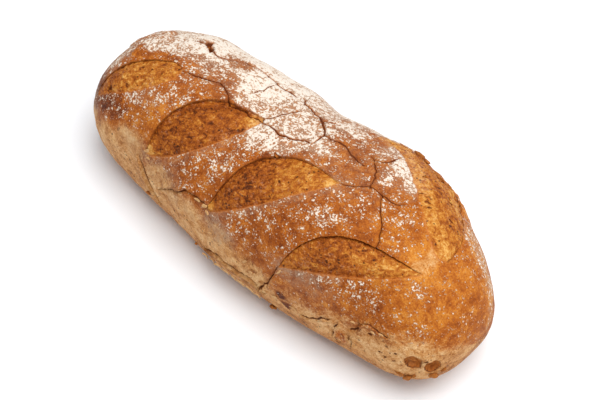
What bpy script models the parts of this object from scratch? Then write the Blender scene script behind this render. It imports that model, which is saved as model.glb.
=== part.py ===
"""A spelt loaf: one solid, a long hand-shaped loaf with five scores that opened in the oven and a cracked crust.

The loaf stands on the plane z = 0 with its middle over the origin. +X runs along it and +Z is up. A place on
its skin is a pair (station, roll): the station is the distance along X in metres, and the roll is the turn
about the loaf's core in degrees, 0 at the crest, negative towards -Y and positive towards +Y.
"""

import math
from typing import NamedTuple

import bmesh
import bpy
import numpy as np

# Body. The three rows hold the form at seven even stations, from the -X end to the +X end.
LENGTH = 0.310
HALF_WIDTH_MINUS_Y = (0.078, 0.064, 0.060, 0.063, 0.060, 0.058, 0.071)
HALF_WIDTH_PLUS_Y = (0.064, 0.062, 0.063, 0.063, 0.072, 0.062, 0.046)
CREST_HEIGHT = (0.097, 0.096, 0.091, 0.089, 0.095, 0.096, 0.095)
CORE_HEIGHT = 0.036
SINK = 0.007
FLOOR_FILLET = 0.003
END_POWER = 2.8
CROWN_POWER = 2.1
BELLY_POWER = 3.0

# Unevenness of the hand-shaped dough: the height of its low swells, and how many fit along and round the loaf.
SWELL = 0.0005
SWELLS = ((3, 2, 0.4), (5, -3, 2.1), (8, 2, 4.0))

# Mesh. The rolls are packed closer where the scores are, and wide apart below.
RINGS = 86
SPOKES = 53
SPOKE_SHARE = ((-180, 0.35), (-120, 0.45), (-85, 0.9), (-70, 1.8), (68, 1.8), (85, 0.8), (120, 0.4), (180, 0.35))

# Scores
EDGE_STEPS = 40
PULL_REACH = 0.010
PULL_POWER = 3.0
TIP_REACH = 0.010
EAR_REACH = 0.010
HEEL_REACH = 0.006
HEEL_STEP = 0.0008
HEEL_LIFT = 0.0007
MOUND = 0.0018

# Cracks and pits
CRACK_STEP = 0.005
CUTTER_RISE = 0.004
CRACK_TIP = 0.25
CRUST_COLOUR = (0.47, 0.20, 0.055, 1.0)


class Score(NamedTuple):
    """A cut that opened: its two tips, how far each edge bows out from the line between them, and how deep it is."""

    low: tuple
    high: tuple
    ear_bow: float
    ear_powers: tuple
    heel_bow: float
    heel_powers: tuple
    trench: float
    ear_lift: float
    ragged: float


SCORES = (
    Score((-0.137, -60), (-0.088, -6), 0.0138, (0.61, 0.57), 0.0107, (1.05, 0.51), 0.0018, 0.0010, 0.0),
    Score((-0.075, -64), (-0.022, 2), 0.0214, (0.95, 0.89), 0.0110, (0.76, 0.91), 0.0028, 0.0014, 0.0),
    Score((-0.017, -63), (0.045, -4), 0.0236, (1.31, 1.10), 0.0065, (0.42, 0.61), 0.0026, 0.0013, 0.0),
    Score((0.045, -66), (0.117, -15), 0.0204, (0.93, 1.25), 0.0035, (1.20, 0.60), 0.0028, 0.0013, 0.0),
    Score((0.031, 49), (0.122, 4), 0.0290, (0.70, 0.78), 0.0076, (2.00, 0.40), 0.0010, 0.0014, 0.0012),
)


class Crack(NamedTuple):
    """A split in the crust: its points as (station in mm, roll in degrees), and its width and depth."""

    points: tuple
    width: float
    depth: float


CRACKS = (
    Crack(((-87, -7), (-79, -4), (-70, 0), (-62, 3), (-55, 1), (-50, -3)), 0.0010, 0.0020),
    Crack(((-44, -1), (-36, 1), (-28, 1), (-16, 0), (-6, 1), (5, 5), (12, 8), (12, 17)), 0.0009, 0.0018),
    Crack(((-102, 22), (-96, 25), (-88, 20), (-80, 21), (-68, 30), (-53, 32), (-36, 31), (-24, 32)), 0.0010, 0.0020),
    Crack(((-20, 32), (-4, 30), (2, 26), (8, 21), (12, 17), (24, 18), (36, 15), (47, 14)), 0.0014, 0.0024),
    Crack(((3, 25), (11, 31), (18, 37)), 0.0009, 0.0016),
    Crack(((42, 23), (48, 20), (54, 15), (60, 5), (70, 6), (79, 8), (83, 13)), 0.0011, 0.0020),
    Crack(((46, -4), (51, -2), (60, 5)), 0.0010, 0.0018),
    Crack(((70, 6), (72, 2), (76, -3), (82, -9), (85, -14), (88, -22)), 0.0011, 0.0020),
    Crack(((-79, -69), (-74, -77), (-72, -85), (-68, -93), (-60, -101)), 0.0012, 0.0022),
    Crack(((-62, -83), (-50, -75), (-42, -70), (-34, -64), (-17, -62)), 0.0010, 0.0018),
    Crack(((-14, -104), (1, -97), (14, -95), (24, -96), (33, -101)), 0.0016, 0.0030),
    Crack(((45, -66), (42, -76), (40, -84), (35, -95)), 0.0011, 0.0020),
)


class Pit(NamedTuple):
    """A burst gas bubble: its place, its half sizes along the loaf and round it, and its depth."""

    station: float
    roll: float
    half_along: float
    half_round: float
    depth: float


PITS = (
    Pit(0.1382, -81, 0.0054, 0.0050, 0.0026),
    Pit(0.1478, -84, 0.0044, 0.0060, 0.0028),
    Pit(-0.0975, 24.5, 0.0032, 0.0028, 0.0030),
    Pit(-0.1270, -51, 0.0018, 0.0016, 0.0016),
)


def along(row, station):
    """A smooth curve through the seven values of a row, by cubic Hermite spans, read at the stations."""
    values = np.array(row)
    places = np.linspace(-LENGTH / 2, LENGTH / 2, len(values))
    slopes = np.gradient(values, places)
    span = np.clip(np.searchsorted(places, station) - 1, 0, len(values) - 2)
    step = places[1] - places[0]
    t = (station - places[span]) / step
    rise = 3 * t**2 - 2 * t**3
    start, end = slopes[span] * (t**3 - 2 * t**2 + t), slopes[span + 1] * (t**3 - t**2)
    return values[span] * (1 - rise) + values[span + 1] * rise + step * (start + end)


def ring_scale(station):
    """How much smaller than the full section a ring is, down to 0 at the ends: a superellipse in X."""
    return np.maximum(1 - np.abs(2 * station / LENGTH) ** END_POWER, 0) ** (1 / END_POWER)


def reaches(station, side, up):
    """(sideways reach, upright reach, power) of the section's quarter in which a point lies."""
    wide = np.where(side < 0, along(HALF_WIDTH_MINUS_Y, station), along(HALF_WIDTH_PLUS_Y, station))
    tall = np.where(up > 0, along(CREST_HEIGHT, station) - CORE_HEIGHT, CORE_HEIGHT + SINK)
    return wide, tall, np.where(up > 0, CROWN_POWER, BELLY_POWER)


def skin(station, roll):
    """Points of the plain body: superellipse quarters, scaled down to the ends, and flat where they meet the floor."""
    side, up = np.sin(np.radians(roll)), np.cos(np.radians(roll))
    wide, tall, power = reaches(station, side, up)
    scale = ring_scale(station) / (np.abs(side) ** power + np.abs(up) ** power) ** (1 / power)
    z = CORE_HEIGHT + scale * tall * up
    fillet = (z + FLOOR_FILLET) ** 2 / (4 * FLOOR_FILLET)
    z = np.where(z < -FLOOR_FILLET, 0.0, np.where(z < FLOOR_FILLET, fillet, z))
    return np.stack([station + 0 * roll, scale * wide * side, z], axis=-1)


def locate(points):
    """(station, roll) of points near the skin: the reverse of skin()."""
    station = np.clip(points[..., 0], -0.4999 * LENGTH, 0.4999 * LENGTH)
    side, up = points[..., 1], points[..., 2] - CORE_HEIGHT
    wide, tall, _ = reaches(station, side, up)
    return station, np.degrees(np.arctan2(side / wide, up / tall))


def outwards(station, roll, step=0.0004):
    """Unit normals of the plain body, from its slopes along and round it."""
    limit = 0.4999 * LENGTH - step
    near = np.clip(station, -limit, limit)
    turn = np.degrees(step / 0.05)
    lengthwise = skin(near + step, roll) - skin(near - step, roll)
    crosswise = skin(near, roll + turn) - skin(near, roll - turn)
    normal = np.cross(lengthwise, crosswise)
    return normal / np.maximum(np.linalg.norm(normal, axis=-1, keepdims=True), 1e-12)


def unit(vector):
    return vector / np.linalg.norm(vector)


def bow(share, powers):
    """A leaf edge's bow, 0 at both tips and 1 at its widest: share^a (1 - share)^b over its largest value."""
    a, b = powers
    widest = a / (a + b)
    return share**a * (1 - share) ** b / (widest**a * (1 - widest) ** b)


def jag(share, seed):
    """A ragged line between about -1 and 1: waves of rising count, with phases that depend on the seed."""
    return sum(math.sin(0.7 * seed + k) * np.sin(2 * np.pi * k * share + seed * k) for k in (3, 7, 12)) / 1.5


def to_line(points, line):
    """(distance, nearest point) from each 2-D point to a polyline."""
    start, span = line[:-1], np.diff(line, axis=0)
    offset = points[:, None, :] - start
    share = np.clip((offset * span).sum(-1) / np.maximum((span**2).sum(-1), 1e-18), 0, 1)
    nearest = start + share[..., None] * span
    distance = np.linalg.norm(points[:, None, :] - nearest, axis=-1)
    best = distance.argmin(axis=1)
    rows = np.arange(len(points))
    return distance[rows, best], nearest[rows, best]


class Opening:
    """A score laid out on the body: a flat frame through its tips, with its two edges as lines in that frame."""

    def __init__(self, score):
        self.score = score
        low, high = (skin(np.array(s), np.array(float(r))) for s, r in (score.low, score.high))
        middle = (score.low[0] + score.high[0]) / 2, (score.low[1] + score.high[1]) / 2
        normal = sum(
            weight * outwards(np.array(s), np.array(float(r)))
            for weight, (s, r) in ((1, score.low), (2, middle), (1, score.high))
        )
        self.length = np.linalg.norm(high - low)
        self.forward = (high - low) / self.length
        self.up = unit(normal - normal.dot(self.forward) * self.forward)
        self.sideways = np.cross(self.up, self.forward)
        self.origin = low
        share = np.linspace(0, 1, EDGE_STEPS + 1)
        jags = score.ragged * jag(share, 5) * np.sin(np.pi * share)
        ear = score.ear_bow * bow(share, score.ear_powers) + jags
        heel = -score.heel_bow * bow(share, score.heel_powers)
        self.ear = np.stack([share * self.length, ear], axis=1)
        self.heel = np.stack([share * self.length, heel], axis=1)

    def flatten(self, points):
        """The points in the frame's plane, as (along, across)."""
        offset = points - self.origin
        return np.stack([offset @ self.forward, offset @ self.sideways], axis=1)

    def pull(self, points, faces_frame):
        """Draws the points near an edge towards it, so that the mesh has its steps there and not beside them."""
        flat = self.flatten(points)
        to_tips = [np.linalg.norm(flat - tip, axis=1) for tip in (self.ear[0], self.ear[-1])]
        strength = np.clip(np.minimum(*to_tips) / TIP_REACH, 0, 1) * faces_frame
        found = [to_line(flat, edge) for edge in (self.ear, self.heel)]
        distance = np.minimum(found[0][0], found[1][0])
        nearest = np.where((found[0][0] < found[1][0])[:, None], found[0][1], found[1][1])
        share = np.clip(distance / PULL_REACH, 0, 1)
        shift = (nearest - flat) * ((1 - share ** (PULL_POWER - 1)) * strength)[:, None]
        return points + shift[:, :1] * self.forward + shift[:, 1:] * self.sideways

    def holds(self, points):
        """Whether each point lies between the two edges."""
        flat = self.flatten(points)
        ear, heel = (np.interp(flat[:, 0], *edge.T) for edge in (self.ear, self.heel))
        return (flat[:, 1] < ear) & (flat[:, 1] > heel)

    def relief(self, points, inside, faces_frame):
        """Height to add at each point: down inside the opening, deepest under the ear, and up along its edges."""
        flat = self.flatten(points)
        to_ear, _ = to_line(flat, self.ear)
        to_heel, _ = to_line(flat, self.heel)
        share = np.clip(flat[:, 0] / self.length, 0, 1)
        across = to_heel / np.maximum(to_ear + to_heel, 1e-9)
        fullness = np.sin(np.pi * share) ** 0.6
        dip = -HEEL_STEP * (1 - across) - self.score.trench * across**3 + MOUND * np.sin(np.pi * across)
        beside_ear = self.score.ear_lift * np.exp(-((to_ear / EAR_REACH) ** 2))
        beside_heel = HEEL_LIFT * np.exp(-((to_heel / HEEL_REACH) ** 2))
        rim = np.where(to_ear < to_heel, beside_ear, beside_heel)
        rim = rim * (1 + 300 * self.score.ragged * jag(share, 2))
        return np.where(inside, dip, rim) * fullness * faces_frame


def spread_stations():
    """Stations of the rings, evenly spaced as measured over the crest, so that the ends have enough of them."""
    fine = LENGTH / 2 * np.sin(np.linspace(-np.pi / 2, np.pi / 2, 4001))
    rise = np.concatenate([[0], np.cumsum(np.hypot(np.diff(fine), np.diff(0.06 * ring_scale(fine))))])
    return np.interp(np.linspace(0, rise[-1], RINGS + 2)[1:-1], rise, fine)


def spread_rolls():
    """Rolls of the spokes, spaced by the shares that SPOKE_SHARE gives."""
    fine = np.linspace(-180, 180, 2001)
    total = np.cumsum(np.interp(fine, *np.array(SPOKE_SHARE, float).T))
    total = (total - total[0]) / (total[-1] - total[0])
    return np.interp(np.arange(SPOKES) / SPOKES, total, fine)


def swell(station, roll):
    """Low waves over the body, gone at its ends and near the floor."""
    turn = np.radians(roll)
    waves = sum(
        np.sin(2 * np.pi * lengthwise * station / LENGTH + crosswise * turn + phase)
        for lengthwise, crosswise, phase in SWELLS
    )
    return SWELL * waves * ring_scale(station) * np.clip((110 - np.abs(roll)) / 30, 0, 1)


def shape(station, roll, openings):
    """Points of the baked skin: the body, with the mesh drawn to the scores' edges, and its relief."""
    points, normals = skin(station, roll), outwards(station, roll)
    facing = [np.clip(normals @ opening.up * 4 - 0.6, 0, 1) for opening in openings]
    inside = [opening.holds(points) for opening in openings]
    for opening, faces_frame in zip(openings, facing):
        points = opening.pull(points, faces_frame)
    station, roll = locate(points)
    points, normals = skin(station, roll), outwards(station, roll)
    height = swell(station, roll)
    for opening, within, faces_frame in zip(openings, inside, facing):
        height += opening.relief(points, within, faces_frame)
    return points + normals * height[:, None]


def make_material(name, colour, roughness):
    material = bpy.data.materials.new(name)
    material.use_nodes = True
    surface = material.node_tree.nodes["Principled BSDF"]
    surface.inputs["Base Color"].default_value = colour
    surface.inputs["Roughness"].default_value = roughness
    surface.inputs["Metallic"].default_value = 0.0
    return material


def add_object(name, mesh):
    made = bpy.data.objects.new(name, mesh)
    bpy.context.scene.collection.objects.link(made)
    return made


def build_skin(openings):
    """The loaf's closed mesh: rings from end to end, closed by a fan at each end."""
    stations, rolls = spread_stations(), spread_rolls()
    station, roll = (grid.ravel() for grid in np.meshgrid(stations, rolls, indexing="ij"))
    points = shape(station, roll, openings)
    bm = bmesh.new()
    rings = [[bm.verts.new(p) for p in ring] for ring in points.reshape(RINGS, SPOKES, 3)]
    for ring, following in zip(rings[:-1], rings[1:]):
        for k in range(SPOKES):
            after = (k + 1) % SPOKES
            bm.faces.new((ring[k], following[k], following[after], ring[after]))
    for ring, end in ((rings[0], -LENGTH / 2), (rings[-1], LENGTH / 2)):
        tip = bm.verts.new((end, 0, CORE_HEIGHT))
        for k in range(SPOKES):
            bm.faces.new((ring[k], ring[(k + 1) % SPOKES], tip))
    bmesh.ops.recalc_face_normals(bm, faces=bm.faces)
    mesh = bpy.data.meshes.new("loaf")
    bm.to_mesh(mesh)
    bm.free()
    return mesh


def crack_cutter(crack, number):
    """A closed wedge that follows the crack over the skin, thin at both ends."""
    corners = np.array(crack.points, float)
    lengths = np.concatenate([[0], np.cumsum(np.linalg.norm(np.diff(corners * (1, 1.1), axis=0), axis=1))])
    count = max(3, round(lengths[-1] / 1000 / CRACK_STEP))
    share = np.linspace(0, 1, count + 1)
    station = np.interp(share * lengths[-1], lengths, corners[:, 0]) / 1000
    roll = np.interp(share * lengths[-1], lengths, corners[:, 1]) + 0.9 * jag(share, number)
    points, normals = skin(station, roll), outwards(station, roll)
    forward = np.gradient(points, axis=0)
    sideways = np.cross(normals, forward)
    sideways /= np.linalg.norm(sideways, axis=1, keepdims=True)
    taper = CRACK_TIP + (1 - CRACK_TIP) * np.sin(np.pi * share) ** 0.5
    depth = (crack.depth * taper)[:, None] * normals
    mouth = (crack.width / 2 * (1 + CUTTER_RISE / crack.depth) * taper)[:, None] * sideways
    top = points + CUTTER_RISE * normals
    bm = bmesh.new()
    sections = [[bm.verts.new(p) for p in row] for row in zip(top - mouth, top + mouth, points - depth)]
    for here, following in zip(sections[:-1], sections[1:]):
        for k in range(3):
            after = (k + 1) % 3
            bm.faces.new((here[k], here[after], following[after], following[k]))
    bm.faces.new(sections[0])
    bm.faces.new(reversed(sections[-1]))
    bmesh.ops.triangulate(bm, faces=bm.faces)
    bmesh.ops.recalc_face_normals(bm, faces=bm.faces)
    mesh = bpy.data.meshes.new(f"crack_cutter_{number}")
    bm.to_mesh(mesh)
    bm.free()
    return mesh


def pit_cutter(pit, number):
    """A flattened ball sunk in the skin, whose lower part is the pit."""
    place = np.array(pit.station), np.array(float(pit.roll))
    centre, normal = skin(*place), outwards(*place)
    lengthwise = unit(np.array((1.0, 0, 0)) - normal[0] * normal)
    crosswise = np.cross(normal, lengthwise)
    axes = np.stack([lengthwise * pit.half_along, crosswise * pit.half_round, normal * pit.depth], axis=1)
    bm = bmesh.new()
    bmesh.ops.create_icosphere(bm, subdivisions=2, radius=1.0)
    for vertex in bm.verts:
        vertex.co = centre + axes @ np.array(vertex.co)
    bmesh.ops.recalc_face_normals(bm, faces=bm.faces)
    mesh = bpy.data.meshes.new(f"pit_cutter_{number}")
    bm.to_mesh(mesh)
    bm.free()
    return mesh


def main():
    for old in list(bpy.data.objects):
        bpy.data.objects.remove(old)
    openings = [Opening(score) for score in SCORES]
    loaf = add_object("loaf", build_skin(openings))
    loaf.data.materials.append(make_material("crust", CRUST_COLOUR, 0.75))

    cutters = bpy.data.collections.new("cutters")
    bpy.context.scene.collection.children.link(cutters)
    meshes = [crack_cutter(crack, number) for number, crack in enumerate(CRACKS, 1)]
    meshes += [pit_cutter(pit, number) for number, pit in enumerate(PITS, 1)]
    for mesh in meshes:
        cutter = bpy.data.objects.new(mesh.name, mesh)
        cutter.hide_render = True
        cutter.display_type = "WIRE"
        cutters.objects.link(cutter)
    cut = loaf.modifiers.new("cracks_and_pits", "BOOLEAN")
    cut.operation = "DIFFERENCE"
    cut.solver = "EXACT"
    cut.operand_type = "COLLECTION"
    cut.collection = cutters


main()
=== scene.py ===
"""The spelt loaf as baked: its scored and cracked crust, its flour, and the crumbs that cling to it.

Sizes are in metres, +X runs along the loaf and +Z is up. A place on the skin is a pair (station, roll): the
station is the distance along X, and the roll is the turn about the loaf's core in degrees, 0 at the crest,
negative towards -Y and positive towards +Y.
"""

import logging
import math
from dataclasses import dataclass, field
from enum import Enum
from typing import Sequence

import bpy
import numpy as np
from mathutils import Matrix, Vector


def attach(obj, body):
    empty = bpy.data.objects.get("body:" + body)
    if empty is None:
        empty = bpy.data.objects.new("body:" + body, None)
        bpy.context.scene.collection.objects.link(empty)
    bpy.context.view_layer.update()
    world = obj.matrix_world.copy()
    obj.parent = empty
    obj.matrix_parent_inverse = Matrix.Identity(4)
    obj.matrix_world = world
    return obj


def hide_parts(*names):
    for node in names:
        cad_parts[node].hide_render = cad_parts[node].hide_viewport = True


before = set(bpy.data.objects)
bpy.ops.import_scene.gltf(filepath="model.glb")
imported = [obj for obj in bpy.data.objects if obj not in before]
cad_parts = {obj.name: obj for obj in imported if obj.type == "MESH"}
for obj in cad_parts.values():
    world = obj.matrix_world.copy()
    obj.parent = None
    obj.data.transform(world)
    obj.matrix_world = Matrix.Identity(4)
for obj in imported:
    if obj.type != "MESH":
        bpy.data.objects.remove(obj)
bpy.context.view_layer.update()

LOG = logging.getLogger("loaf")
MM = 0.001

# A gap that stands for too far to matter, and the mm of skin for each degree of roll.
FAR = 9.0
ROLL_MM = 1.1

# The hashed noise: a factor for each axis, one for the seed, one for mixing, and the largest number it gives.
HASH_AXES = (73856093, 19349663, 83492791)
HASH_SEED = 7919
HASH_MIX = 1274126177
HASH_TOP = 0xFFFF


def linear(red: float, green: float, blue: float) -> tuple[float, float, float, float]:
    """A display colour of 0 to 255 as scene-linear RGBA: the sRGB curve undone on each channel."""
    shares = [channel / 255 for channel in (red, green, blue)]
    undone = [s / 12.92 if s <= 0.04045 else ((s + 0.055) / 1.055) ** 2.4 for s in shares]
    return undone[0], undone[1], undone[2], 1.0


def smooth(low: float, high: float, values: np.ndarray) -> np.ndarray:
    """A step from 0 at low to 1 at high, 3t^2 - 2t^3 between them. High may be below low."""
    share = np.clip((values - low) / (high - low), 0, 1)
    return share * share * (3 - 2 * share)


def lattice_noise(points: np.ndarray, cell: float, seed: int) -> np.ndarray:
    """Value noise between -1 and 1: a hashed number at each corner of a lattice, blended in between.

    Args:
        points: Positions, one per row, in metres.
        cell: The lattice's spacing in metres.
        seed: Picks one of many patterns.

    Returns:
        One value per point.
    """
    place = points / cell
    corner = np.floor(place).astype(np.int64)
    share = place - corner
    share = share * share * (3 - 2 * share)
    total = np.zeros(len(points))
    for offset in np.ndindex(2, 2, 2):
        key = (corner + offset) * HASH_AXES
        mixed = (key[:, 0] ^ key[:, 1] ^ key[:, 2]) + seed * HASH_SEED
        mixed = (mixed ^ (mixed >> 13)) * HASH_MIX
        mixed = (mixed ^ (mixed >> 16)) & HASH_TOP
        weight = np.prod(np.where(np.array(offset) == 1, share, 1 - share), axis=1)
        total += weight * (mixed / (HASH_TOP / 2) - 1)
    return total


def layered_noise(points: np.ndarray, cell: float, layers: int, seed: int) -> np.ndarray:
    """Lattice noise with finer layers added, each half as large and half as strong as the one before."""
    return sum(lattice_noise(points, cell / 2**k, seed + k) / 2**k for k in range(layers))


def unit(vectors: np.ndarray) -> np.ndarray:
    """The vectors at length 1, along the last axis."""
    return vectors / np.maximum(np.linalg.norm(vectors, axis=-1, keepdims=True), 1e-12)


def to_line(points: np.ndarray, line: np.ndarray) -> tuple[np.ndarray, np.ndarray, np.ndarray]:
    """How each point lies to a polyline in two or three dimensions.

    Args:
        points: Positions, one per row.
        line: The polyline's corners, one per row.

    Returns:
        The distance to the line, the nearest point on it, and the number of the stretch that holds it.
    """
    start, span = line[:-1], np.diff(line, axis=0)
    offset = points[:, None, :] - start
    share = np.clip((offset * span).sum(-1) / np.maximum((span**2).sum(-1), 1e-18), 0, 1)
    nearest = start + share[..., None] * span
    distance = np.linalg.norm(points[:, None, :] - nearest, axis=-1)
    best = distance.argmin(axis=1)
    rows = np.arange(len(points))
    return distance[rows, best], nearest[rows, best], best


def jag(share: np.ndarray, seed: float) -> np.ndarray:
    """A ragged line between about -1 and 1: waves of rising count, with phases that depend on the seed."""
    waves = (math.sin(0.7 * seed + k) * np.sin(2 * np.pi * k * share + seed * k) for k in (3, 7, 12, 23))
    return sum(waves) / 1.5


def each(kind: type, *rows: tuple) -> tuple:
    """One object of the kind for each row of its values."""
    return tuple(kind(*row) for row in rows)


def closed_faces(rings: int, spokes: int, flipped: bool = False) -> np.ndarray:
    """Vertex numbers of the quads between rings of points, and of the fans to the two poles that come last.

    Args:
        rings: How many rings of points there are.
        spokes: How many points a ring has.
        flipped: Whether the rings run the other way round, so that the faces have to turn to point outwards.

    Returns:
        Four numbers a row; a row that ends in -1 is a triangle.
    """
    grid = np.arange(rings * spokes).reshape(rings, spokes)
    following = np.roll(grid, -1, axis=1)
    quads = np.stack([grid[:-1], grid[1:], following[1:], following[:-1]], axis=-1).reshape(-1, 4)
    blank, pole = np.full(spokes, -1), np.full(spokes, grid.size)
    start = np.column_stack([grid[0], following[0], pole, blank])
    end = np.column_stack([following[-1], grid[-1], pole + 1, blank])
    if flipped:
        quads, start, end = quads[:, [0, 3, 2, 1]], start[:, [1, 0, 2, 3]], end[:, [1, 0, 2, 3]]
    return np.concatenate([quads, start, end])


@dataclass(frozen=True)
class LoafForm:
    """The loaf's plain body. The three rows hold it at seven even stations from the -X end to the +X end."""

    length: float = 0.310
    half_width_minus_y: tuple[float, ...] = (0.078, 0.064, 0.060, 0.063, 0.060, 0.058, 0.071)
    half_width_plus_y: tuple[float, ...] = (0.064, 0.062, 0.063, 0.063, 0.072, 0.062, 0.046)
    crest_height: tuple[float, ...] = (0.097, 0.096, 0.091, 0.089, 0.095, 0.096, 0.095)
    core_height: float = 0.036
    sink: float = 0.007
    floor_fillet: float = 0.003
    end_power: float = 2.8
    crown_power: float = 2.1
    belly_power: float = 3.0
    swell: float = 0.0005
    swells: tuple[tuple[float, float, float], ...] = ((3, 2, 0.4), (5, -3, 2.1), (8, 2, 4.0))
    swell_end: float = 110.0
    swell_fade: float = 30.0
    end_share: float = 0.4999
    mean_radius: float = 0.05

    def along(self, row: Sequence[float], station: np.ndarray) -> np.ndarray:
        """A row read at the stations: cubic Hermite spans through its seven values."""
        values = np.array(row)
        places = np.linspace(-self.length / 2, self.length / 2, len(values))
        slopes = np.gradient(values, places)
        span = np.clip(np.searchsorted(places, station) - 1, 0, len(values) - 2)
        step = places[1] - places[0]
        t = (station - places[span]) / step
        rise = 3 * t**2 - 2 * t**3
        start, end = slopes[span] * (t**3 - 2 * t**2 + t), slopes[span + 1] * (t**3 - t**2)
        return values[span] * (1 - rise) + values[span + 1] * rise + step * (start + end)

    def ring_scale(self, station: np.ndarray) -> np.ndarray:
        """How much smaller than the full section a ring is: (1 - |2x / length|^p)^(1/p)."""
        inner = np.maximum(1 - np.abs(2 * station / self.length) ** self.end_power, 0)
        return inner ** (1 / self.end_power)

    def reaches(
        self, station: np.ndarray, side: np.ndarray, up: np.ndarray
    ) -> tuple[np.ndarray, np.ndarray, np.ndarray]:
        """The sideways reach, upright reach and power of the section's quarter in which a point lies."""
        widths = (self.along(row, station) for row in (self.half_width_minus_y, self.half_width_plus_y))
        above = self.along(self.crest_height, station) - self.core_height
        tall = np.where(up > 0, above, self.core_height + self.sink)
        return np.where(side < 0, *widths), tall, np.where(up > 0, self.crown_power, self.belly_power)

    def skin(self, station: np.ndarray, roll: np.ndarray) -> np.ndarray:
        """Points of the body: superellipse quarters |y/w|^p + |z/h|^p = 1, scaled to the ends, flat below."""
        side, up = np.sin(np.radians(roll)), np.cos(np.radians(roll))
        wide, tall, power = self.reaches(station, side, up)
        scale = self.ring_scale(station) / (np.abs(side) ** power + np.abs(up) ** power) ** (1 / power)
        z = self.core_height + scale * tall * up
        fillet = (z + self.floor_fillet) ** 2 / (4 * self.floor_fillet)
        z = np.where(z < -self.floor_fillet, 0.0, np.where(z < self.floor_fillet, fillet, z))
        return np.stack([station + 0 * roll, scale * wide * side, z], axis=-1)

    def locate(self, points: np.ndarray) -> tuple[np.ndarray, np.ndarray]:
        """The station and roll of points near the skin: the reverse of skin()."""
        station = np.clip(points[..., 0], -self.end_share * self.length, self.end_share * self.length)
        side, up = points[..., 1], points[..., 2] - self.core_height
        wide, tall, _ = self.reaches(station, side, up)
        return station, np.degrees(np.arctan2(side / wide, up / tall))

    def outwards(self, station: np.ndarray, roll: np.ndarray, step: float = 0.0004) -> np.ndarray:
        """Unit normals: the cross product of the slopes along the body and round it."""
        limit = self.end_share * self.length - step
        near = np.clip(station, -limit, limit)
        turn = np.degrees(step / self.mean_radius)
        lengthwise = self.skin(near + step, roll) - self.skin(near - step, roll)
        crosswise = self.skin(near, roll + turn) - self.skin(near, roll - turn)
        return unit(np.cross(lengthwise, crosswise))

    def swelling(self, station: np.ndarray, roll: np.ndarray) -> np.ndarray:
        """Low waves over the body: sines of the station and the roll, gone at its ends and low down."""
        turn, size = np.radians(roll), self.length
        waves = sum(np.sin(2 * np.pi * a * station / size + b * turn + c) for a, b, c in self.swells)
        fade = np.clip((self.swell_end - np.abs(roll)) / self.swell_fade, 0, 1)
        return self.swell * waves * self.ring_scale(station) * fade

    def frame_at(self, station: float, roll: float) -> tuple[np.ndarray, ...]:
        """At one place: the point of the skin, its normal, and the directions along the loaf and round it."""
        place = np.array([station]), np.array([float(roll)])
        centre, normal = self.skin(*place)[0], self.outwards(*place)[0]
        lengthwise = unit(np.array((1.0, 0, 0)) - normal[0] * normal)
        return centre, normal, lengthwise, np.cross(normal, lengthwise)


@dataclass(frozen=True)
class Score:
    """A cut that opened: its two tips, how far each edge bows out from the line between, and its depth."""

    low: tuple[float, float]
    high: tuple[float, float]
    ear_bow: float
    ear_powers: tuple[float, float]
    heel_bow: float
    heel_powers: tuple[float, float]
    trench: float
    ear_lift: float
    ragged: float = 0.0


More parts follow.
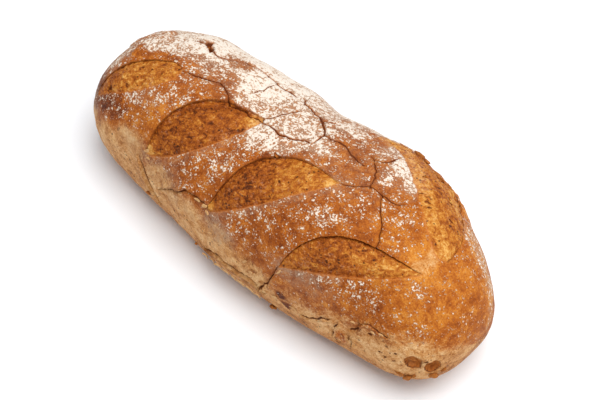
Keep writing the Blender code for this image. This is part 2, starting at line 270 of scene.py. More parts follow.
@dataclass
class Opening:
    """A score laid out on the body: a flat frame through its tips, and its two edges as lines in it."""

    form: LoafForm
    score: Score
    steps: int = 60
    pull_reach: float = 0.0055
    pull_power: float = 2.6
    tip_reach: float = 0.006
    ear_reach: float = 0.010
    heel_reach: float = 0.006
    heel_step: float = 0.0008
    heel_lift: float = 0.0007
    mound: float = 0.0018
    overhang: float = 0.0006
    undercut: float = 0.0004
    margin: float = 0.028
    lip_drop: float = 0.0006
    lip_reach: float = 0.0018
    hang_reach: float = 0.0022
    tip_power: float = 0.6
    edge_ragged: float = 0.00025
    heel_ragged_share: float = 0.3
    rim_waves: float = 300.0
    facing_gain: float = 4.0
    facing_start: float = 0.6

    def __post_init__(self) -> None:
        """Works out the frame from the tips: forward between them, up by the normals, sideways to the ear."""
        score, form = self.score, self.form
        middle = ((score.low[0] + score.high[0]) / 2, (score.low[1] + score.high[1]) / 2)
        stations, rolls = np.array([score.low, middle, score.high]).T
        low, _, high = form.skin(stations, rolls)
        normal = np.array([1, 2, 1]) @ form.outwards(stations, rolls)
        self.length = float(np.linalg.norm(high - low))
        self.origin = low
        self.forward = (high - low) / self.length
        self.up = unit(normal - normal.dot(self.forward) * self.forward)
        self.sideways = np.cross(self.up, self.forward)
        share = np.linspace(0, 1, self.steps + 1)
        ragged = (score.ragged + self.edge_ragged) * jag(share, 5) * np.sin(np.pi * share)
        ear = score.ear_bow * self.bow(share, score.ear_powers) + ragged
        heel = -score.heel_bow * self.bow(share, score.heel_powers) - self.heel_ragged_share * ragged
        self.ear = np.stack([share * self.length, ear], axis=1)
        self.heel = np.stack([share * self.length, heel], axis=1)

    @staticmethod
    def bow(share: np.ndarray, powers: tuple[float, float]) -> np.ndarray:
        """A leaf edge's bow, 0 at the tips: share^a (1 - share)^b, divided by its largest value."""
        a, b = powers
        widest = a / (a + b)
        return share**a * (1 - share) ** b / (widest**a * (1 - widest) ** b)

    def flatten(self, points: np.ndarray) -> np.ndarray:
        """The points in the frame's plane, as (along, across)."""
        offset = points - self.origin
        return np.stack([offset @ self.forward, offset @ self.sideways], axis=1)

    def near(self, points: np.ndarray, normals: np.ndarray) -> tuple[np.ndarray, np.ndarray]:
        """The points that the opening can touch.

        Args:
            points: Positions on the body.
            normals: Their unit normals.

        Returns:
            The numbers of the points within the margin of the opening's box, and how much each looks the
            frame's way, from 0 to 1, so that the loaf's far side is left alone.
        """
        facing = np.clip(normals @ self.up * self.facing_gain - self.facing_start, 0, 1)
        flat = self.flatten(points)
        low, high = self.heel.min(axis=0) - self.margin, self.ear.max(axis=0) + self.margin
        rows = np.flatnonzero(((flat > low) & (flat < high)).all(axis=1) & (facing > 0))
        return rows, facing[rows]

    def holds(self, points: np.ndarray) -> np.ndarray:
        """Whether each point lies between the two edges."""
        flat = self.flatten(points)
        ear, heel = (np.interp(flat[:, 0], *edge.T) for edge in (self.ear, self.heel))
        return (flat[:, 1] < ear) & (flat[:, 1] > heel)

    def pull(self, points: np.ndarray, facing: np.ndarray) -> np.ndarray:
        """Draws points near an edge towards it: a distance d within the reach R becomes R (d / R)^p."""
        flat = self.flatten(points)
        to_tips = [np.linalg.norm(flat - tip, axis=1) for tip in (self.ear[0], self.ear[-1])]
        strength = np.clip(np.minimum(*to_tips) / self.tip_reach, 0, 1) * facing
        (to_ear, on_ear, _), (to_heel, on_heel, _) = (to_line(flat, edge) for edge in (self.ear, self.heel))
        nearest = np.where((to_ear < to_heel)[:, None], on_ear, on_heel)
        share = np.clip(np.minimum(to_ear, to_heel) / self.pull_reach, 0, 1)
        shift = (nearest - flat) * ((1 - share ** (self.pull_power - 1)) * strength)[:, None]
        return points + shift[:, :1] * self.forward + shift[:, 1:] * self.sideways

    def edges(self, points: np.ndarray) -> tuple[np.ndarray, np.ndarray, np.ndarray]:
        """The distances to the ear and to the heel, and the share of the way from one tip to the other."""
        flat = self.flatten(points)
        share = np.clip(flat[:, 0] / self.length, 0, 1)
        return to_line(flat, self.ear)[0], to_line(flat, self.heel)[0], share

    def relief(
        self, edges: tuple[np.ndarray, np.ndarray, np.ndarray], inside: np.ndarray, facing: np.ndarray
    ) -> tuple[np.ndarray, np.ndarray]:
        """Height along the normal, and the sideways shift that hangs the ear over its trench.

        Inside it is a mound less a trench that deepens as the cube of the way to the ear. Outside it is a
        bell curve of the distance to the nearer edge, and the ear's last stretch rolls down to the trench.

        Args:
            edges: What edges() gives for the points.
            inside: Whether each lies in the opening.
            facing: How much each looks the frame's way.

        Returns:
            The heights, and the sideways shifts.
        """
        to_ear, to_heel, share = edges
        across = to_heel / np.maximum(to_ear + to_heel, 1e-9)
        fullness = np.sin(np.pi * share) ** self.tip_power * facing
        dip = -self.heel_step * (1 - across) - self.score.trench * across**3
        dip = dip + self.mound * np.sin(np.pi * across)
        beside_ear = self.score.ear_lift * np.exp(-((to_ear / self.ear_reach) ** 2))
        beside_ear = beside_ear - self.lip_drop * np.exp(-to_ear / self.lip_reach)
        beside_heel = self.heel_lift * np.exp(-((to_heel / self.heel_reach) ** 2))
        uneven = 1 + self.rim_waves * self.score.ragged * jag(share, 2)
        rim = np.where(to_ear < to_heel, beside_ear, beside_heel) * uneven
        over = np.where(inside, self.undercut, -self.overhang) * np.exp(-((to_ear / self.hang_reach) ** 2))
        return np.where(inside, dip, rim) * fullness, over * fullness


@dataclass(frozen=True)
class Crack:
    """A split in the crust: its corners as (station in mm, roll), half width, depth, lip and wandering."""

    corners: tuple[tuple[float, float], ...]
    half_width: float
    depth: float
    lip: float = 0.0003
    wander: float = 0.0010


@dataclass
class CrackPath:
    """A crack laid on the body as a ragged line in space."""

    form: LoafForm
    crack: Crack
    number: int
    step: float = 0.0015
    pull_reach: float = 0.0024
    pull_power: float = 2.0
    lip_reach: float = 0.0035
    lip_lean: float = 0.7
    groove_width: float = 1.6
    gap_reach: float = 0.009
    wobble_cell: float = 0.004
    wobble_roll: float = 0.9
    wobble_station: float = 0.0006

    def __post_init__(self) -> None:
        """Runs the line through the corners, wandering as it goes, and keeps its sideways directions."""
        corners = np.array(self.crack.corners, float)
        stretch = np.linalg.norm(np.diff(corners * (1, ROLL_MM), axis=0), axis=1)
        lengths = np.concatenate([[0], np.cumsum(stretch)]) * MM
        count = max(4, round(lengths[-1] / self.step))
        self.share = np.linspace(0, 1, count + 1)
        station = np.interp(self.share * lengths[-1], lengths, corners[:, 0]) * MM
        roll = np.interp(self.share * lengths[-1], lengths, corners[:, 1])
        plain = self.form.skin(station, roll)
        wobble = layered_noise(plain, self.wobble_cell, 3, 40 + self.number) * self.crack.wander / MM
        roll = roll + self.wobble_roll * wobble
        station = station + self.wobble_station * np.roll(wobble, 3)
        self.line = self.form.skin(station, roll)
        normals = self.form.outwards(station, roll)
        self.sideways = unit(np.cross(normals, np.gradient(self.line, axis=0)))

    def near(self, points: np.ndarray, reach: float) -> np.ndarray:
        """The numbers of the points inside the line's box, grown by the reach."""
        low, high = self.line.min(axis=0) - reach, self.line.max(axis=0) + reach
        return np.flatnonzero(((points > low) & (points < high)).all(axis=1))

    def pull(self, points: np.ndarray) -> np.ndarray:
        """Draws points near the line towards it, so that the mesh has a narrow groove to hold."""
        moved = points.copy()
        rows = self.near(points, self.pull_reach)
        distance, nearest, _ = to_line(points[rows], self.line)
        share = np.clip(distance / self.pull_reach, 0, 1)
        moved[rows] += (nearest - points[rows]) * (1 - share ** (self.pull_power - 1))[:, None]
        return moved

    def gap(self, points: np.ndarray) -> tuple[np.ndarray, np.ndarray]:
        """For each point, the distance to the line in half widths, at most FAR, and the side it lies on."""
        gaps, sides = np.full(len(points), FAR), np.zeros(len(points))
        rows = self.near(points, self.gap_reach)
        distance, nearest, stretch = to_line(points[rows], self.line)
        taper = 0.35 + 0.65 * np.sin(np.pi * np.clip(self.share[stretch], 0.02, 0.98)) ** 0.5
        gaps[rows] = np.minimum(distance / (self.crack.half_width * taper), FAR)
        sides[rows] = np.sign(((points[rows] - nearest) * self.sideways[stretch]).sum(axis=1))
        return gaps, sides

    def relief(self, gaps: np.ndarray, sides: np.ndarray) -> np.ndarray:
        """Height along the normal: a groove of depth (1 - gap^2), and a lip that curls up on one side."""
        groove = -self.crack.depth * np.clip(1 - (gaps / self.groove_width) ** 2, 0, 1)
        beyond = gaps * self.crack.half_width / self.lip_reach
        lip = self.crack.lip * np.exp(-(beyond**2)) * (1 + self.lip_lean * sides) * (gaps < FAR)
        return groove + lip


@dataclass(frozen=True)
class Patch:
    """A soft-edged oval on the skin, in which a painted value is laid over what was there."""

    station: float
    roll: float
    half_along: float
    half_round: float
    value: float
    tilt: float = 0.0


@dataclass(frozen=True)
class Painting:
    """A value painted over the skin: one base value, then patches in order. Stations are in mm."""

    base: float
    patches: tuple[Patch, ...]
    full_within: float = 0.5
    gone_beyond: float = 1.4

    def at(self, station: np.ndarray, roll: np.ndarray, wander: np.ndarray) -> np.ndarray:
        """The value at each place: a patch counts fully inside half its size, and not beyond 1.4 of it.

        Args:
            station: Stations in metres.
            roll: Rolls in degrees.
            wander: Two columns of noise that make the patches' edges uneven, in mm.

        Returns:
            One value per place.
        """
        x, y = station / MM + wander[:, 0], ROLL_MM * roll + wander[:, 1]
        value = np.full(len(x), self.base)
        for patch in self.patches:
            turn = math.radians(patch.tilt)
            dx, dy = x - patch.station, y - ROLL_MM * patch.roll
            along = (dx * math.cos(turn) + dy * math.sin(turn)) / patch.half_along
            round_ = (dy * math.cos(turn) - dx * math.sin(turn)) / (ROLL_MM * patch.half_round)
            share = smooth(self.gone_beyond, self.full_within, np.hypot(along, round_))
            value = value * (1 - share) + patch.value * share
        return value


@dataclass(frozen=True)
class Pit:
    """A burst gas bubble: its place, its half sizes along the loaf and round it, and its depth."""

    station: float
    roll: float
    half_along: float
    half_round: float
    depth: float
    ragged: float = 0.14
    ragged_cell: float = 0.0035
    reach: float = 0.02
    pull_reach: float = 0.6
    pull_power: float = 2.2

    def radius(self, form: LoafForm, points: np.ndarray) -> np.ndarray:
        """Each point's distance from the centre as a share of the oval, a little uneven, or FAR."""
        centre, _, lengthwise, crosswise = form.frame_at(self.station, self.roll)
        offset = points - centre
        r = np.hypot(offset @ lengthwise / self.half_along, offset @ crosswise / self.half_round)
        r = r + self.ragged * lattice_noise(points, self.ragged_cell, 77)
        return np.where(np.linalg.norm(offset, axis=1) < self.reach, r, FAR)

    def pull(self, form: LoafForm, points: np.ndarray) -> np.ndarray:
        """Draws points near the rim towards it, for walls that the mesh can hold."""
        radius = self.radius(form, points)
        share = np.clip(np.abs(radius - 1) / self.pull_reach, 0, 1)
        shift = (np.sign(radius - 1) * (share**self.pull_power - share) * self.pull_reach)[:, None]
        centre = form.frame_at(self.station, self.roll)[0]
        return points + (points - centre) * shift / np.maximum(radius, 0.2)[:, None]


class Layer(Enum):
    """The painted and measured values that the crust's finish reads from the mesh."""

    FLOUR = "flour"
    VEIL = "veil"
    BAKE = "bake"
    GLOW = "glow"
    PALE = "pale"
    OPENED = "opened"
    EAR = "ear"
    HEEL = "heel"
    SPLIT = "split"
    PIT = "pit"
    FIBRE = "fibre"
    TOAST_AND_SHADE = "toast"


def make_mesh(name: str, points: np.ndarray, faces: np.ndarray) -> bpy.types.Object:
    """A smooth-shaded mesh object in the scene.

    Args:
        name: The object's name.
        points: Vertex positions in metres.
        faces: Vertex numbers, three or four a row; a row that ends in -1 is a triangle.

    Returns:
        The new object.
    """
    mesh = bpy.data.meshes.new(name)
    if faces.shape[1] == 4:
        listed = [tuple(row) if row[3] >= 0 else tuple(row[:3]) for row in faces.tolist()]
    else:
        listed = faces.tolist()
    mesh.from_pydata(points.tolist(), [], listed)
    mesh.update()
    mesh.shade_smooth()
    made = bpy.data.objects.new(name, mesh)
    bpy.context.scene.collection.objects.link(made)
    return made


def add_layer(piece: bpy.types.Object, layer: Layer, values: np.ndarray) -> None:
    """Stores a value at each vertex, or a vector where there are three columns, under the layer's name."""
    kind, key = ("FLOAT", "value") if values.ndim == 1 else ("FLOAT_VECTOR", "vector")
    stored = piece.data.attributes.new(layer.value, kind, "POINT")
    stored.data.foreach_set(key, values.astype(np.float32).ravel())


@dataclass
class Graph:
    """A material's node tree, with short ways to add what the finishes need."""

    name: str

    def __post_init__(self) -> None:
        """Makes the material, and keeps its surface shader and its Object coordinates."""
        self.material = bpy.data.materials.new(self.name)
        self.material.use_nodes = True
        self.tree = self.material.node_tree
        self.surface = self.tree.nodes["Principled BSDF"]
        self.place = self.add("ShaderNodeTexCoord").outputs["Object"]

    def add(self, kind: str, inputs: dict | None = None, **settings: object) -> bpy.types.Node:
        """A node with its settings made, and its inputs linked or set."""
        node = self.tree.nodes.new(kind)
        for key, value in settings.items():
            setattr(node, key, value)
        for key, value in (inputs or {}).items():
            if isinstance(value, bpy.types.NodeSocket):
                self.tree.links.new(value, node.inputs[key])
            else:
                node.inputs[key].default_value = value
        return node

    def stretch(self, x: float, y: float, z: float) -> bpy.types.NodeSocket:
        """The Object coordinates, multiplied axis by axis."""
        return self.add("ShaderNodeMapping", {"Vector": self.place, "Scale": (x, y, z)}).outputs[0]

    def noise(
        self, scale: float, detail: float = 4, rough: float = 0.6, twist: float = 0, place: object = None
    ) -> bpy.types.NodeSocket:
        """Fractal noise from 0 to 1, with features of about 1 / scale metres."""
        inputs = {"Vector": place or self.place, "Scale": scale, "Detail": detail}
        inputs |= {"Roughness": rough, "Distortion": twist}
        return self.add("ShaderNodeTexNoise", inputs).outputs[0]

    def cells(self, scale: float) -> bpy.types.NodeSocket:
        """The distance to the nearest of many scattered points, as a share of their spacing."""
        return self.add("ShaderNodeTexVoronoi", {"Vector": self.place, "Scale": scale}).outputs["Distance"]

    def layer(self, layer: Layer, output: str = "Fac") -> bpy.types.NodeSocket:
        """A value stored on the mesh, or with the output "Vector" a vector."""
        return self.add("ShaderNodeAttribute", attribute_name=layer.value).outputs[output]

    def math(self, operation: str, a: object, b: object) -> bpy.types.NodeSocket:
        """One sum on two values."""
        return self.add("ShaderNodeMath", {0: a, 1: b}, operation=operation).outputs[0]

    def times(self, a: object, b: object) -> bpy.types.NodeSocket:
        """Two values multiplied."""
        return self.math("MULTIPLY", a, b)

    def total(self, start: object, *terms: tuple[object, float]) -> bpy.types.NodeSocket:
        """The start, plus each noise less its mean of one half, times its weight."""
        value = start
        for noise, weight in terms:
            value = self.math("ADD", value, self.times(self.math("SUBTRACT", noise, 0.5), weight))
        return value

    def step(
        self, value: object, low: object, high: object, to_low: float = 0, to_high: float = 1
    ) -> bpy.types.NodeSocket:
        """A smooth step from to_low to to_high, as the value goes from low to high."""
        inputs = {"Value": value, "From Min": low, "From Max": high, "To Min": to_low, "To Max": to_high}
        return self.add("ShaderNodeMapRange", inputs, interpolation_type="SMOOTHSTEP").outputs[0]

    def ramp(self, value: object, stops: Sequence[tuple[float, tuple]]) -> bpy.types.NodeSocket:
        """The value read through a row of colours."""
        node = self.add("ShaderNodeValToRGB", {"Fac": value})
        elements = node.color_ramp.elements
        for element, (place, colour) in zip(elements, (stops[0], stops[-1])):
            element.position, element.color = place, linear(*colour)
        for place, colour in stops[1:-1]:
            elements.new(place).color = linear(*colour)
        return node.outputs["Color"]

    def mix(self, share: object, under: object, over: object) -> bpy.types.NodeSocket:
        """One colour laid over another by a share."""
        node = self.add("ShaderNodeMix", data_type="RGBA", clamp_factor=True)
        for socket, value in zip((node.inputs[0], node.inputs[6], node.inputs[7]), (share, under, over)):
            if isinstance(value, bpy.types.NodeSocket):
                self.tree.links.new(value, socket)
            else:
                socket.default_value = value if isinstance(value, float) else linear(*value)
        return node.outputs[2]

    def bump(self, height: bpy.types.NodeSocket, depth: float) -> bpy.types.NodeSocket:
        """A normal tilted by a height of 0 to 1, whose full depth is given in metres."""
        return self.add("ShaderNodeBump", {"Height": height, "Distance": depth, "Strength": 1.0}).outputs[0]

    def finish(
        self, colour: object, roughness: object, normal: object = None, specular: float = 0.15
    ) -> bpy.types.Material:
        """Joins the results to the surface shader and returns the material."""
        for key, value in (("Base Color", colour), ("Roughness", roughness), ("Normal", normal)):
            if isinstance(value, bpy.types.NodeSocket):
                self.tree.links.new(value, self.surface.inputs[key])
            elif value is not None:
                self.surface.inputs[key].default_value = value
        self.surface.inputs["Specular IOR Level"].default_value = specular
        return self.material


@dataclass
class CrustNoise:
    """The noises that the crust's colours share, and the share of each place that no score has opened."""

    g: Graph

    def __post_init__(self) -> None:
        """Makes the noises: five that layer the tones, one for the flour's drifts, and two for the crumb."""
        g = self.g
        self.blotch = g.noise(95, 3, 0.55)
        self.cloudy = g.noise(150, 7, 0.7, 0.5)
        self.streak = g.noise(190, 7, 0.68, 0.3)
        self.mottle = g.noise(420, 5, 0.7, 0.4)
        self.grain = g.noise(1000, 2, 0.7)
        self.drift = g.noise(620, 5, 0.76, 0.15, g.stretch(0.7, 1, 1))
        self.fibre = g.noise(330, 5, 0.66, 0.9, g.layer(Layer.FIBRE, "Vector"))
        self.crumbly = g.cells(420)
        self.closed = g.step(g.layer(Layer.OPENED), 0.2, -0.2)


@dataclass(frozen=True)
class CrustFinish:
    """Baked crust: the browned skin, the paler base, the opened scores, the splits, and the flour."""

    skin: tuple = (
        (0.0, (84, 34, 8)),
        (0.25, (136, 64, 14)),
        (0.5, (176, 94, 25)),
        (0.75, (208, 129, 42)),
        (1.0, (232, 166, 80)),
    )
    inner: tuple = (
        (0.0, (74, 32, 6)),
        (0.25, (134, 64, 12)),
        (0.5, (172, 93, 24)),
        (0.75, (204, 132, 49)),
        (1.0, (231, 177, 98)),
    )
    base: tuple = (
        (0.0, (90, 44, 10)),
        (0.3, (166, 102, 48)),
        (0.6, (208, 148, 86)),
        (1.0, (238, 196, 142)),
    )
    flour_thick: tuple = (243, 232, 218)
    flour_thin: tuple = (222, 182, 148)
    veil: tuple = (172, 140, 114)
    # The pale orange of the painted highlight along the scores' lower edges.
    heel_highlight: tuple = (206, 124, 56)
    hollow: tuple = ((0.0, (100, 46, 10)), (0.5, (186, 104, 34)), (1.0, (230, 154, 74)))
    # Painted shade for the pores, small holes that the mesh doesn't hold.
    pore_shade: tuple = (66, 32, 8)
    # The splits' own dark brown, also laid on as painted shade under the ears and at the pits' rims.
    split: tuple = (98, 44, 14)
    relief: float = 0.0011

    def with_pore_shade(
        self, n: CrustNoise, colour: bpy.types.NodeSocket, scale: float, edge: tuple, share: float
    ) -> bpy.types.NodeSocket:
        """The colour with painted shade for pores, dark where scattered points lie nearer than an uneven
        distance.

        Args:
            n: The crust's noises.
            colour: The colour under the pores.
            scale: How many pores fit in a metre.
            edge: The distances, as shares of the spacing, at which a pore begins and is full.
            share: How much of the pores' painted shade is laid on.

        Returns:
            The colour with its painted pore shade.
        """
        pore_shade_mask = n.g.step(n.g.math("ADD", n.g.cells(scale), n.g.times(n.cloudy, 0.8)), *edge)
        return n.g.mix(n.g.times(pore_shade_mask, share), colour, self.pore_shade)

    def outside(self, n: CrustNoise) -> bpy.types.NodeSocket:
        """The closed crust: browned skin, which gives way to the paler base."""
        g = n.g
        browned = g.total(g.layer(Layer.BAKE), (n.blotch, 0.4), (n.cloudy, 1.2), (n.grain, 0.8))
        toasted = (n.streak, 0.8), (n.mottle, 0.8), (n.blotch, 0.9), (n.grain, 0.9)
        # The base's tone, with painted shade towards the floor.
        pale = g.total(g.layer(Layer.TOAST_AND_SHADE), *toasted)
        base = self.with_pore_shade(n, g.ramp(pale, self.base), 310, (0.58, 0.5), 0.8)
        border = g.total(g.layer(Layer.PALE), (n.mottle, 1.0), (n.cloudy, 1.2), (n.grain, 0.7))
        return g.mix(g.step(border, 0.05, 1.0), g.ramp(browned, self.skin), base)

    def inside(self, n: CrustNoise) -> bpy.types.NodeSocket:
        """The opened scores: fibrous crumb, with painted pore shade."""
        g = n.g
        noises = (n.cloudy, 1.0), (n.fibre, 1.6), (n.grain, 0.8), (n.crumbly, -0.2)
        tone = g.total(g.layer(Layer.GLOW), *noises)
        return self.with_pore_shade(n, g.ramp(tone, self.inner), 290, (0.6, 0.52), 0.85)

    def hazed(self, n: CrustNoise, colour: bpy.types.NodeSocket) -> bpy.types.NodeSocket:
        """The colour under its greyish, uneven veil, which keeps off the opened scores."""
        g = n.g
        dusty = g.step(g.total(g.noise(240, 6, 0.7), (n.grain, 0.4)), 0.3, 0.72, 0.1, 1.3)
        veil = g.times(g.times(g.layer(Layer.VEIL), dusty), n.closed)
        return g.mix(veil, colour, self.veil)

    def floured(
        self, n: CrustNoise, colour: bpy.types.NodeSocket
    ) -> tuple[bpy.types.NodeSocket, bpy.types.NodeSocket]:
        """The colour under its flour: a haze, then specks and drifts that keep off scores, splits and pits.

        Args:
            n: The crust's noises.
            colour: The colour under the flour.

        Returns:
            The floured colour, and how much of each place the specks and drifts cover.
        """
        g, density = n.g, n.g.layer(Layer.FLOUR)
        cover = g.step(g.layer(Layer.OPENED), 0.1, -0.8, 0.08, 1.0)
        cover = g.times(cover, g.step(g.layer(Layer.SPLIT), 0.9, 2.0))
        cover = g.times(cover, g.step(g.layer(Layer.PIT), 0.3, 0.0))
        haze = g.times(g.step(density, 0.46, 0.82, 0.0, 0.55), g.step(n.drift, 0.3, 0.6, 0.5, 1.0))
        colour = g.mix(g.times(haze, cover), colour, self.flour_thin)
        dabs, dots = (g.math("SUBTRACT", 1.0, g.cells(scale)) for scale in (310, 680))
        specks = (g.noise(150, 3, 0.5), 0.6), (n.drift, 1.0), (n.grain, 0.9), (dabs, 0.36), (dots, 0.44)
        depth = g.total(density, *specks)
        dust = g.times(g.step(depth, 0.49, 0.68), cover)
        flour = g.mix(g.step(depth, 0.54, 0.84), self.flour_thin, self.flour_thick)
        return g.mix(g.times(dust, 0.95), colour, flour), dust

    def shaded(self, n: CrustNoise, colour: bpy.types.NodeSocket) -> bpy.types.NodeSocket:
        """The colour darkened in the splits, with painted shade under the ears and at the rims of the pits.
        """
        g, pit = n.g, n.g.layer(Layer.PIT)
        colour = g.mix(g.times(g.step(g.layer(Layer.SPLIT), 1.1, 0.5), 0.92), colour, self.split)
        # Painted shade: the opened crumb just under each ear is darkened with the splits' brown.
        near_ear = g.step(g.layer(Layer.EAR), 0.9, 0.1)
        ear_shade = g.times(near_ear, g.step(g.layer(Layer.OPENED), -0.1, 0.2))
        colour = g.mix(g.times(ear_shade, 0.6), colour, self.split)
        inside = g.step(g.total(pit, (n.cloudy, 0.8)), 0.35, 0.7)
        colour = g.mix(g.times(inside, 0.85), colour, g.ramp(g.total(0.5, (n.fibre, 2.0)), self.hollow))
        # Painted shadow: a dark band round each pit's rim, broken up by noise.
        pit_rim_shade = g.times(g.step(pit, 0.12, 0.4), g.step(pit, 0.95, 0.6))
        return g.mix(g.times(pit_rim_shade, g.step(n.cloudy, 0.4, 0.56, 0.45, 0.95)), colour, self.split)

    def height(self, n: CrustNoise, dust: bpy.types.NodeSocket) -> bpy.types.NodeSocket:
        """The fine relief: layered noise, the thickness of the flour, and pebbles inside the scores."""
        g = n.g
        fine = g.total(n.cloudy, (n.mottle, 0.7), (n.grain, 0.6), (n.fibre, 0.5))
        pebbles = g.times(*(g.math("SUBTRACT", 1.0, value) for value in (n.closed, n.crumbly)))
        height = g.math("ADD", g.times(fine, 0.6), g.times(dust, 0.2))
        return g.math("ADD", height, g.times(pebbles, 0.5))

    def material(self) -> bpy.types.Material:
        """The material: colours picked by layered noise about the painted values, then a painted highlight at
        the heels, flour and painted shade.
        """
        g = Graph("baked_crust")
        n = CrustNoise(g)
        colour = g.mix(n.closed, self.inside(n), self.outside(n))
        # Painted highlight: a pale line along each score's lower edge, broken up by noise.
        rim = g.times(g.step(g.layer(Layer.HEEL), 1.1, 0.2), g.step(n.mottle, 0.35, 0.6, 0.1, 0.8))
        colour = self.hazed(n, g.mix(rim, colour, self.heel_highlight))
        colour, dust = self.floured(n, colour)
        normal = g.bump(self.height(n, dust), self.relief)
        return g.finish(self.shaded(n, colour), g.step(dust, 0.0, 1.0, 0.6, 0.95), normal)


